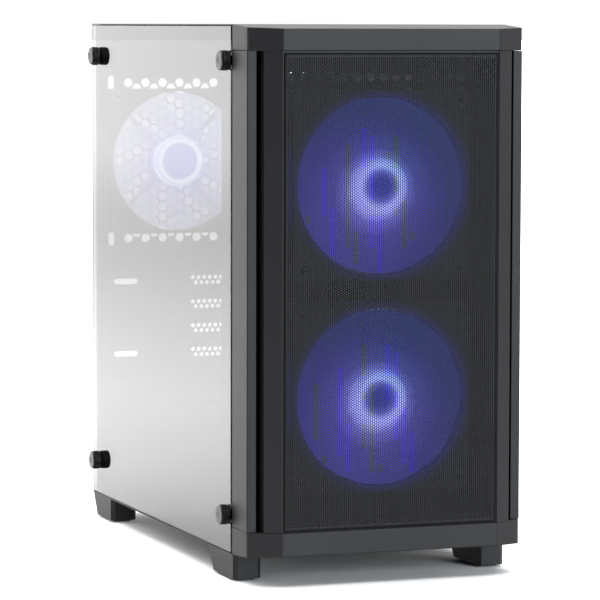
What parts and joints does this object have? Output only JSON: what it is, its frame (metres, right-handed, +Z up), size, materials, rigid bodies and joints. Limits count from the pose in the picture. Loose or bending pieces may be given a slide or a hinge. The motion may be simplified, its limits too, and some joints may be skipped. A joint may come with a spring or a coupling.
{
  "type": "desktop computer tower",
  "caption": "Compact steel computer tower with a chamfered mesh front, lit fans, a clamped glass side and a full working interior.",
  "frame": {"origin": "bottom centre of the whole tower, thumbscrews included, on the surface it stands on", "axes": "+X to the right seen from the front, +Y to the back, +Z up; the mesh front faces -Y and the glass side faces -X"},
  "size_m": [0.2242, 0.4148, 0.411],
  "materials": {
    "case_steel": "fine textured black powder coat",
    "front_plastic": "satin moulded plastic",
    "mesh_steel": "punched sheet, matt black paint",
    "feet_plastic": "moulded plastic",
    "rubber": "matt rubber",
    "tempered_glass": "lightly tinted tempered glass",
    "screw_black": "black knurled steel with a bright turned face",
    "fan_body": "black glass-filled plastic",
    "lit_blades": "frosted translucent plastic, lit from the hub in blue and violet",
    "board": "black solder resist",
    "brass_post": "turned brass",
    "bright_screw": "nickel-plated steel",
    "bright_steel": "bare plated sheet",
    "socket_plastic": "black moulded plastic",
    "nickel": "nickel-plated frame and lid",
    "aluminium": "extruded aluminium",
    "module": "black anodised spreader",
    "drive_case": "grey anodised shell",
    "psu_paint": "black powder coat",
    "filter_plastic": "magnetic edge strip and moulded tray",
    "filter_cloth": "fine woven nylon mesh",
    "button_plastic": "polished plastic"
  },
  "bodies": {
    "chassis": {"board_screws": "bright_screw", "board_standoffs": "brass_post", "card_sockets": "socket_plastic", "chassis_bottom": "case_steel", "chassis_front": "case_steel", "chassis_rear": "case_steel", "chassis_top": "case_steel", "chipset_heatsink": "aluminium", "cpu_fan_frame": "fan_body", "cpu_heatsink": "aluminium", "fan_screws": "screw_black", "feet": "feet_plastic", "foot_pads": "rubber", "front_fan_lower_frame": "fan_body", "front_fan_upper_frame": "fan_body", "io_shield": "bright_steel", "memory_modules": "module", "memory_sockets": "socket_plastic", "motherboard": "board", "motherboard_tray": "case_steel", "power_sockets": "socket_plastic", "processor_socket": "nickel", "psu_case": "psu_paint", "psu_fan_frame": "fan_body", "psu_fan_guard": "bright_steel", "psu_inlet_and_housing": "socket_plastic", "psu_shroud": "case_steel", "rear_fan_frame": "fan_body", "rear_io_ports": "bright_steel", "rear_screws": "bright_screw", "slot_covers": "case_steel", "solid_state_drive": "drive_case", "top_io_panel": "front_plastic", "top_io_sockets": "socket_plastic"},
    "front_panel": {"front_top_bar": "front_plastic", "front_bottom_bar": "front_plastic", "front_pillar_left": "front_plastic", "front_pillar_right": "front_plastic", "mesh_frame": "front_plastic", "front_mesh": "mesh_steel"},
    "glass_side": {"glass_panel": "tempered_glass", "glass_grommets": "rubber"},
    "glass_screw_front_upper": {"glass_screw_front_upper": "screw_black"},
    "glass_screw_front_lower": {"glass_screw_front_lower": "screw_black"},
    "glass_screw_rear_upper": {"glass_screw_rear_upper": "screw_black"},
    "glass_screw_rear_lower": {"glass_screw_rear_lower": "screw_black"},
    "steel_side": {"side_panel": "case_steel"},
    "side_screw_lower": {"side_screw_lower": "screw_black"},
    "side_screw_upper": {"side_screw_upper": "screw_black"},
    "top_filter": {"top_filter_frame": "filter_plastic", "top_filter_mesh": "filter_cloth"},
    "psu_filter": {"psu_filter": "filter_plastic"},
    "power_button": {"power_button": "button_plastic"},
    "reset_button": {"reset_button": "button_plastic"},
    "front_fan_upper_rotor": {"front_fan_upper_rotor": "lit_blades"},
    "front_fan_lower_rotor": {"front_fan_lower_rotor": "lit_blades"},
    "rear_fan_rotor": {"rear_fan_rotor": "lit_blades"},
    "cpu_fan_rotor": {"cpu_fan_rotor": "fan_body"},
    "psu_fan_rotor": {"psu_fan_rotor": "fan_body"},
    "psu_switch": {"psu_switch": "socket_plastic"}
  },
  "joints": [
    {"name": "front_panel_pull", "type": "slide", "parent": "chassis", "child": "front_panel", "axis": [0, -1, 0], "range_m": [0, 0.06]},
    {"name": "glass_side_lift", "type": "slide", "parent": "chassis", "child": "glass_side", "axis": [-1, 0, 0], "range_m": [0, 0.15]},
    {"name": "glass_screw_front_upper_out", "type": "slide", "parent": "glass_side", "child": "glass_screw_front_upper", "axis": [-1, 0, 0], "range_m": [0, 0.012]},
    {"name": "glass_screw_front_lower_out", "type": "slide", "parent": "glass_side", "child": "glass_screw_front_lower", "axis": [-1, 0, 0], "range_m": [0, 0.012]},
    {"name": "glass_screw_rear_upper_out", "type": "slide", "parent": "glass_side", "child": "glass_screw_rear_upper", "axis": [-1, 0, 0], "range_m": [0, 0.012]},
    {"name": "glass_screw_rear_lower_out", "type": "slide", "parent": "glass_side", "child": "glass_screw_rear_lower", "axis": [-1, 0, 0], "range_m": [0, 0.012]},
    {"name": "steel_side_slide", "type": "slide", "parent": "chassis", "child": "steel_side", "axis": [0, 1, 0], "range_m": [0, 0.03]},
    {"name": "side_screw_lower_out", "type": "slide", "parent": "steel_side", "child": "side_screw_lower", "axis": [0, 1, 0], "range_m": [0, 0.009]},
    {"name": "side_screw_upper_out", "type": "slide", "parent": "steel_side", "child": "side_screw_upper", "axis": [0, 1, 0], "range_m": [0, 0.009]},
    {"name": "top_filter_lift", "type": "slide", "parent": "chassis", "child": "top_filter", "axis": [0, 0, 1], "range_m": [0, 0.04]},
    {"name": "psu_filter_pull", "type": "slide", "parent": "chassis", "child": "psu_filter", "axis": [0, 1, 0], "range_m": [0, 0.15]},
    {"name": "power_button_press", "type": "slide", "parent": "chassis", "child": "power_button", "axis": [0, 0, -1], "range_m": [0, 0.0015], "stiffness_N_per_m": 700, "springref_m": -0.001},
    {"name": "reset_button_press", "type": "slide", "parent": "chassis", "child": "reset_button", "axis": [0, 0, -1], "range_m": [0, 0.0012], "stiffness_N_per_m": 400, "springref_m": -0.001},
    {"name": "front_fan_upper_spin", "type": "hinge", "parent": "chassis", "child": "front_fan_upper_rotor", "pos_m": [0.00375, -0.175, 0.2923], "axis": [0, 1, 0], "continuous": true},
    {"name": "front_fan_lower_spin", "type": "hinge", "parent": "chassis", "child": "front_fan_lower_rotor", "pos_m": [0.00375, -0.175, 0.1349], "axis": [0, 1, 0], "continuous": true},
    {"name": "rear_fan_spin", "type": "hinge", "parent": "chassis", "child": "rear_fan_rotor", "pos_m": [-0.03325, 0.1846, 0.297], "axis": [0, 1, 0], "continuous": true},
    {"name": "cpu_fan_spin", "type": "hinge", "parent": "chassis", "child": "cpu_fan_rotor", "pos_m": [0.03865, 0.0876, 0.2837], "axis": [1, 0, 0], "continuous": true},
    {"name": "psu_fan_spin", "type": "hinge", "parent": "chassis", "child": "psu_fan_rotor", "pos_m": [0.00875, 0.1226, 0.036], "axis": [0, 0, 1], "continuous": true},
    {"name": "psu_switch_rock", "type": "hinge", "parent": "chassis", "child": "psu_switch", "pos_m": [0.05075, 0.1966, 0.049], "axis": [0, 0, 1], "range_deg": [-16, 0]}
  ]
}
